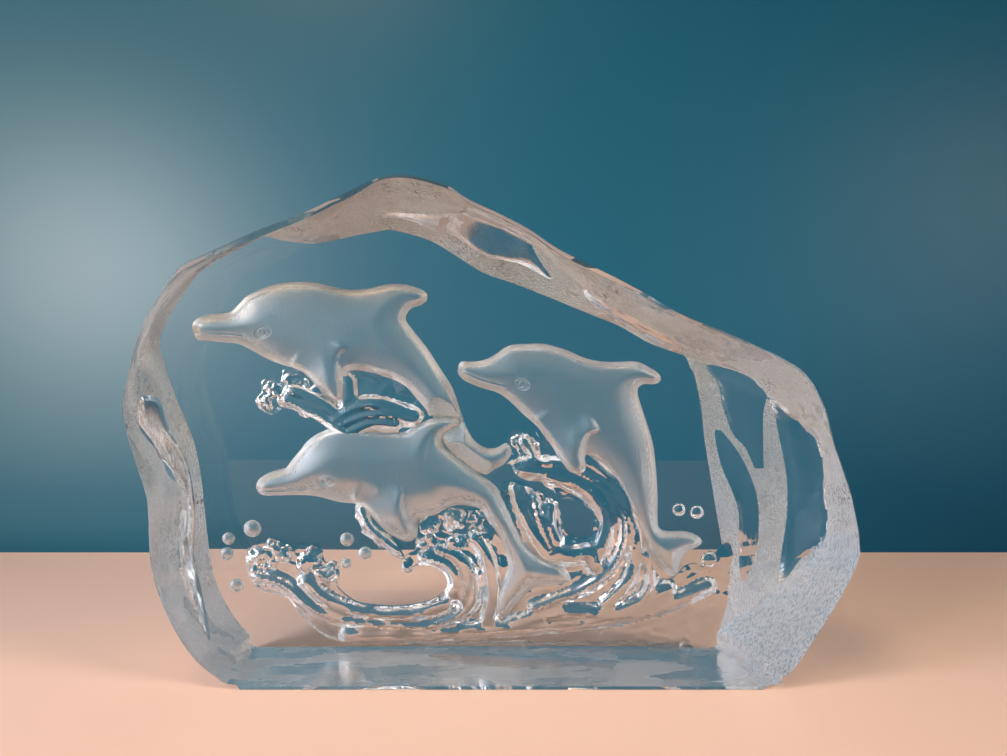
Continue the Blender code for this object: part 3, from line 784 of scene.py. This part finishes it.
def tinted(tree, value, stops):
    # A colour ramp over a value.
    ramp = addNode(tree, "ShaderNodeValToRGB", (("Fac", value),))
    elements = ramp.color_ramp.elements
    while len(elements) < len(stops):
        elements.new(0.5)
    for element, (spot, color) in zip(elements, stops):
        element.position = spot
        element.color = color
    return ramp.outputs["Color"]


def mixed(tree, share, first, second):
    # Two colours, plain or linked, by a share.
    node = addNode(tree, "ShaderNodeMix", data_type="RGBA")
    tree.links.new(share, node.inputs["Factor"])
    for socket, value in ((node.inputs[6], first), (node.inputs[7], second)):
        if isinstance(value, tuple):
            socket.default_value = value
        else:
            tree.links.new(value, socket)
    return node.outputs[2]


def joined(tree, operation, first, second):
    node = addNode(tree, "ShaderNodeMath", operation=operation)
    for socket, value in zip(node.inputs, (first, second)):
        if isinstance(value, (int, float)):
            socket.default_value = value
        else:
            tree.links.new(value, socket)
    return node.outputs[0]


def newGroup(name, inputs, output):
    # A node group of values over Object coordinates, with named sockets.
    group = bpy.data.node_groups.new(name, "ShaderNodeTree")
    for item, kind in inputs:
        group.interface.new_socket(item, in_out="INPUT", socket_type=kind)
    group.interface.new_socket(output, in_out="OUTPUT", socket_type="NodeSocketFloat")
    return group, group.nodes.new("NodeGroupInput").outputs, group.nodes.new("NodeGroupOutput").inputs


def streaksGroup():
    # Noise stretched along one way, for strokes, scratches and rubbed places.
    vector, number = "NodeSocketVector", "NodeSocketFloat"
    group, given, result = newGroup("streaks", (("Vector", vector), ("Stretch", vector), ("Turn", vector),
                                                ("Scale", number), ("Detail", number)), "Value")
    mapping = addNode(group, "ShaderNodeMapping", (("Vector", given["Vector"]), ("Rotation", given["Turn"]),
                                                   ("Scale", given["Stretch"])))
    grain = addNode(group, "ShaderNodeTexNoise", (("Vector", mapping.outputs["Vector"]),
                                                  ("Scale", given["Scale"]), ("Detail", given["Detail"])))
    group.links.new(grain.outputs["Fac"], result["Value"])
    return group


def patchesGroup():
    # Roughness that changes from Smooth to Rough in soft patches.
    vector, number = "NodeSocketVector", "NodeSocketFloat"
    group, given, result = newGroup("patches", (("Vector", vector), ("Scale", number), ("Low", number),
                                                ("High", number), ("Smooth", number), ("Rough", number)),
                                    "Roughness")
    cloud = addNode(group, "ShaderNodeTexNoise", (("Vector", given["Vector"]), ("Scale", given["Scale"])),
                    Detail=3.0)
    spread = addNode(group, "ShaderNodeMapRange", (
        ("Value", cloud.outputs["Fac"]), ("From Min", given["Low"]), ("From Max", given["High"]),
        ("To Min", given["Smooth"]), ("To Max", given["Rough"])))
    group.links.new(spread.outputs["Result"], result["Roughness"])
    return group


# Colours of the satin: blue-green and pale drifts, and a painted warm reflection along a dolphin's rim.
satinTint = dict(driftScale=140.0, driftDetail=2.0, rim=(1.0, 0.86, 0.68, 1),
                 stops=((0.35, (0.86, 0.95, 0.96, 1)), (0.65, (0.98, 0.96, 0.93, 1))))


def satinColor(tree, place, streak):
    drift = tinted(tree, noiseOn(tree, place, satinTint["driftScale"], satinTint["driftDetail"]),
                   satinTint["stops"])
    # The rim colour is a painted warm reflection on the steep walls of the body.
    return mixed(tree, attributeOn(tree, "rim"), drift, satinTint["rim"])


# Colours of the hewn walls: a painted reflection of light, cool at the foot and warm beige at the head (m),
# with drifts, specks of dirt and a fine grey.
hewnTint = dict(
    foot=0.02, head=0.14, shift=0.05, driftScale=55.0, drift=1.4,
    stops=((0.05, (0.92, 0.93, 0.97, 1)), (0.35, (1.0, 0.96, 0.91, 1)),
           (0.75, (0.97, 0.84, 0.66, 1)), (1.0, (0.80, 0.60, 0.40, 1))),
    speckScale=1100.0, speckDetail=4.0, speckLow=0.52, speckHigh=0.60, speck=(0.10, 0.06, 0.035, 1),
    fineScale=1700.0, fineDetail=2.0, fineLow=0.30, fineHigh=0.55, fineDark=0.72,
)


def hewnColor(tree, place, streak):
    look = hewnTint
    height = addNode(tree, "ShaderNodeSeparateXYZ", (("Vector", place),)).outputs["Z"]
    drift = joined(tree, "SUBTRACT", noiseOn(tree, place, look["driftScale"]), 0.5)
    drift = joined(tree, "ADD", joined(tree, "MULTIPLY", drift, look["drift"]), look["shift"])
    # A painted warm reflection that grows with height, with random drifts.
    paintedWarmth = joined(tree, "ADD", ranged(tree, height, look["foot"], look["head"], 0.0, 1.0), drift)
    base = tinted(tree, paintedWarmth, look["stops"])
    specks = noiseOn(tree, place, look["speckScale"], look["speckDetail"])
    specks = joined(tree, "MULTIPLY", attributeOn(tree, "dirt"),
                    ranged(tree, specks, look["speckLow"], look["speckHigh"], 0.0, 1.0))
    fine = noiseOn(tree, place, look["fineScale"], look["fineDetail"])
    fine = ranged(tree, fine, look["fineLow"], look["fineHigh"], look["fineDark"], 1.0)
    grey = addNode(tree, "ShaderNodeCombineColor", (("Red", fine), ("Green", fine), ("Blue", fine)))
    blend = addNode(tree, "ShaderNodeMix", data_type="RGBA", blend_type="MULTIPLY", Factor=1)
    tree.links.new(base, blend.inputs[6])
    tree.links.new(grey.outputs[0], blend.inputs[7])
    return mixed(tree, specks, blend.outputs[2], look["speck"])


# Colours of the brushed facet, along its strokes: the strokes are real, their bluish-white is a painted
# reflection of daylight.
brushedPaintedDaylight = ((0.36, (0.45, 0.56, 0.74, 1)), (0.50, (0.80, 0.89, 1.0, 1)), (0.62, (1.0, 1.0, 1.0, 1)))


def brushedColor(tree, place, streak):
    # A painted daylight reflection, laid along the strokes.
    return tinted(tree, streak, brushedPaintedDaylight)


# Finishes of the crystal: clear is its transmission, patches or rubbed give its roughness, and
# grain (scale, detail) or the streaks its bump. Lengths are in m.
crystalIndex = 1.54
looks = dict(
    polished=dict(
        clear=1.0, tint=(0.97, 0.99, 1.0, 1),
        patches=dict(Scale=60.0, Low=0.60, High=0.75, Smooth=0.0, Rough=0.008)),
    satin=dict(
        clear=0.93, color=satinColor,
        patches=dict(Scale=90.0, Low=0.3, High=0.7, Smooth=0.36, Rough=0.50),
        streaks=dict(Stretch=(1.0, 1.0, 0.30), Turn=(0, 0.5, 0), Scale=1800.0, Detail=2.0),
        bump=dict(Distance=0.0001, Strength=0.8)),
    water=dict(
        clear=1.0, tint=(0.97, 0.99, 1.0, 1),
        patches=dict(Scale=120.0, Low=0.45, High=0.7, Smooth=0.0, Rough=0.10),
        grain=(420.0, 2.0), bump=dict(Distance=0.0001, Strength=0.6)),
    hewn=dict(
        clear=0.68, color=hewnColor,
        patches=dict(Scale=75.0, Low=0.40, High=0.60, Smooth=0.25, Rough=0.60),
        grain=(1500.0, 5.0), bump=dict(Distance=0.0006, Strength=0.9)),
    brushed=dict(
        clear=0.68, color=brushedColor, rubbed=(0.40, 0.65, 0.18, 0.50),
        streaks=dict(Stretch=(1.0, 1.0, 0.10), Turn=(0, 0.55, 0), Scale=1900.0, Detail=3.0),
        bump=dict(Distance=0.0006, Strength=0.9)),
    window=dict(
        clear=1.0, tint=(0.93, 0.97, 1.0, 1), rubbed=(0.52, 0.72, 0.015, 0.22),
        streaks=dict(Stretch=(1.0, 1.0, 0.06), Turn=(0, 0.4, 0.2), Scale=1500.0, Detail=2.0),
        bump=dict(Distance=0.00008, Strength=0.5)),
    ground=dict(
        clear=0.88, tint=(0.95, 0.96, 0.97, 1), rubbed=(0.44, 0.58, 0.02, 0.50),
        streaks=dict(Stretch=(0.6, 1.0, 1.0), Turn=(0, 0, 0), Scale=60.0, Detail=4.0),
        grain=(900.0, 3.0), bump=dict(Distance=0.0002, Strength=0.5)),
)
streaks = streaksGroup()
patches = patchesGroup()


def dressFinish(material, look):
    material.use_nodes = True
    tree = material.node_tree
    shader = tree.nodes["Principled BSDF"]
    shader.inputs["IOR"].default_value = crystalIndex
    shader.inputs["Transmission Weight"].default_value = look["clear"]
    place = addNode(tree, "ShaderNodeTexCoord").outputs["Object"]
    streak = None
    if "streaks" in look:
        streak = addNode(tree, "ShaderNodeGroup", (("Vector", place),), node_tree=streaks,
                         **look["streaks"]).outputs["Value"]
    if "tint" in look:
        shader.inputs["Base Color"].default_value = look["tint"]
    else:
        tree.links.new(look["color"](tree, place, streak), shader.inputs["Base Color"])
    if "patches" in look:
        rough = addNode(tree, "ShaderNodeGroup", (("Vector", place),), node_tree=patches,
                        **look["patches"]).outputs["Roughness"]
    else:
        rough = ranged(tree, streak, *look["rubbed"])
    tree.links.new(rough, shader.inputs["Roughness"])
    if "bump" in look:
        height = noiseOn(tree, place, *look["grain"]) if "grain" in look else streak
        bump = addNode(tree, "ShaderNodeBump", (("Height", height),), **look["bump"])
        tree.links.new(bump.outputs["Normal"], shader.inputs["Normal"])


for item, material in zip(finishNames, finishes):
    dressFinish(material, looks[item])

sharpestSmooth = 32     # degrees
crystal.select_set(True)
bpy.context.view_layer.objects.active = crystal
bpy.ops.object.shade_smooth_by_angle(angle=radians(sharpestSmooth))
crystal.select_set(False)
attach(crystal, "root")
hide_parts("crystal_block")
print("crystal dressed", flush=True)

# Stage, in m: a pale floor with a plain teal wall behind it.
stage = dict(
    floorSize=(3.0, 0.263), floorBack=0.123, floorDrop=0.0002, floorColor=(0.71, 0.44, 0.31, 1),
    floorRough=0.45, wallSize=(4.0, 2.0), wallPlace=(0, 0.30, 0.3), wallColor=(0.002, 0.080, 0.120, 1),
    wallRough=0.40, skyColor=(0.45, 0.72, 0.95, 1), skyStrength=0.25,
)


def stagePanel(name, place, size, turn, color, roughness):
    bpy.ops.mesh.primitive_plane_add(size=1, location=place, rotation=(radians(turn), 0, 0))
    panel = bpy.context.object
    panel.name = name
    panel.scale = (*size, 1)
    material = bpy.data.materials.new(name + "Paint")
    material.use_nodes = True
    shader = material.node_tree.nodes["Principled BSDF"]
    shader.inputs["Base Color"].default_value = color
    shader.inputs["Roughness"].default_value = roughness
    panel.data.materials.append(material)
    return panel


floorPlace = (0, stage["floorBack"] - stage["floorSize"][1] / 2, -stage["floorDrop"])
floor = stagePanel("floor", floorPlace, stage["floorSize"], 0, stage["floorColor"], stage["floorRough"])
wall = stagePanel("wall", stage["wallPlace"], stage["wallSize"], 90, stage["wallColor"],
                  stage["wallRough"])

world = bpy.data.worlds.new("studio")
scene.world = world
world.use_nodes = True
sky = world.node_tree.nodes["Background"]
sky.inputs["Color"].default_value = stage["skyColor"]
sky.inputs["Strength"].default_value = stage["skyStrength"]

# Lamps: place, aim and size in m, power in W and spread in degrees.
lamps = (
    dict(name="windowLeft", place=(-0.92, -0.92, 0.32), aim=(0, 0, 0.05), size=0.40, power=16,
         color=(1.0, 0.96, 0.90), spread=180),
    dict(name="lampHigh", place=(-0.30, -0.35, 0.95), aim=(0, 0, 0.05), size=0.30, power=3.0,
         color=(1.0, 0.78, 0.55), spread=180),
    dict(name="skyLeft", place=(-0.55, -0.28, 0.30), aim=(0, 0, 0.07), size=0.30, power=0.9,
         color=(0.68, 0.75, 1.0), spread=70),
    dict(name="lampRight", place=(0.80, -0.40, 0.35), aim=(0, 0, 0.06), size=0.4, power=1.2,
         color=(1.0, 0.94, 0.88), spread=60),
)


def softLight(name, place, aim, size, power, color, spread):
    data = bpy.data.lights.new(name, "AREA")
    data.spread = radians(spread)
    data.shape = "DISK"
    data.size = size
    data.energy = power
    data.color = color
    lamp = bpy.data.objects.new(name, data)
    scene.collection.objects.link(lamp)
    lamp.location = place
    lamp.rotation_euler = (Vector(place) - Vector(aim)).to_track_quat("Z", "Y").to_euler()


for lamp in lamps:
    softLight(**lamp)

scene.view_settings.view_transform = "Standard"
scene.cycles.max_bounces = 28
scene.cycles.transmission_bounces = 28
scene.cycles.glossy_bounces = 12
scene.cycles.sample_clamp_indirect = 6
print("stage set", flush=True)

# The view: the focal length is counted in pixels of the photo's width; distance is in m.
view = dict(sensor=36, focalPixels=740, widthPixels=1007, distance=0.210, nearest=0.01)
lens = bpy.data.cameras.new("camera")
lens.sensor_width = view["sensor"]
lens.lens = view["focalPixels"] / view["widthPixels"] * view["sensor"]
lens.clip_start = view["nearest"]
camera = bpy.data.objects.new("camera", lens)
scene.collection.objects.link(camera)
camera.location = ((axis[0] - drawingMiddle) * mm, -view["distance"], axis[1] * mm)
camera.rotation_euler = (radians(90), 0, 0)
scene.camera = camera
